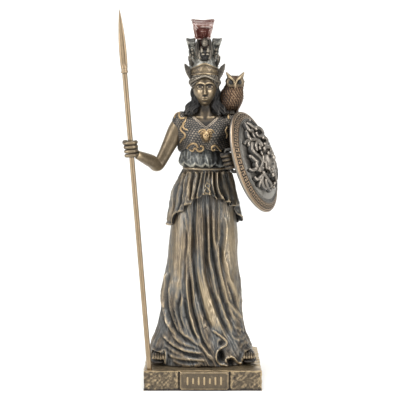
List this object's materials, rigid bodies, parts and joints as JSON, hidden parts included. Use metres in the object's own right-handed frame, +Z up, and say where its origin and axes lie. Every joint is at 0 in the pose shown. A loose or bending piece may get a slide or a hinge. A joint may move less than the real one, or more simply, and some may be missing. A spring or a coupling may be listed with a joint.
{
  "type": "robed goddess desk statue",
  "caption": "Cold-cast bronze souvenir statue of a helmeted, robed goddess with an owl on her shoulder, a spear and a round gorgon shield, on a rough rectangular plinth.",
  "frame": {"origin": "middle of the plinth's underside", "axes": "+X to the figure's left hand, -Y the way the figure looks, +Z up"},
  "size_m": [0.1258, 0.0846, 0.2983],
  "materials": {
    "plinth_resin": "cold-cast bronze resin, dark patina, rubbed along its edges",
    "figure_resin": "cold-cast bronze resin, blue-black patina in the hollows, dry-brushed gold on the ridges",
    "spear_brass": "satin light bronze",
    "shield_resin": "cold-cast bronze resin, grey ground, gold highlights on the band and the relief"
  },
  "bodies": {
    "root": {"plinth": "plinth_resin", "figure": "figure_resin", "spear": "spear_brass", "shield": "shield_resin"}
  },
  "joints": []
}
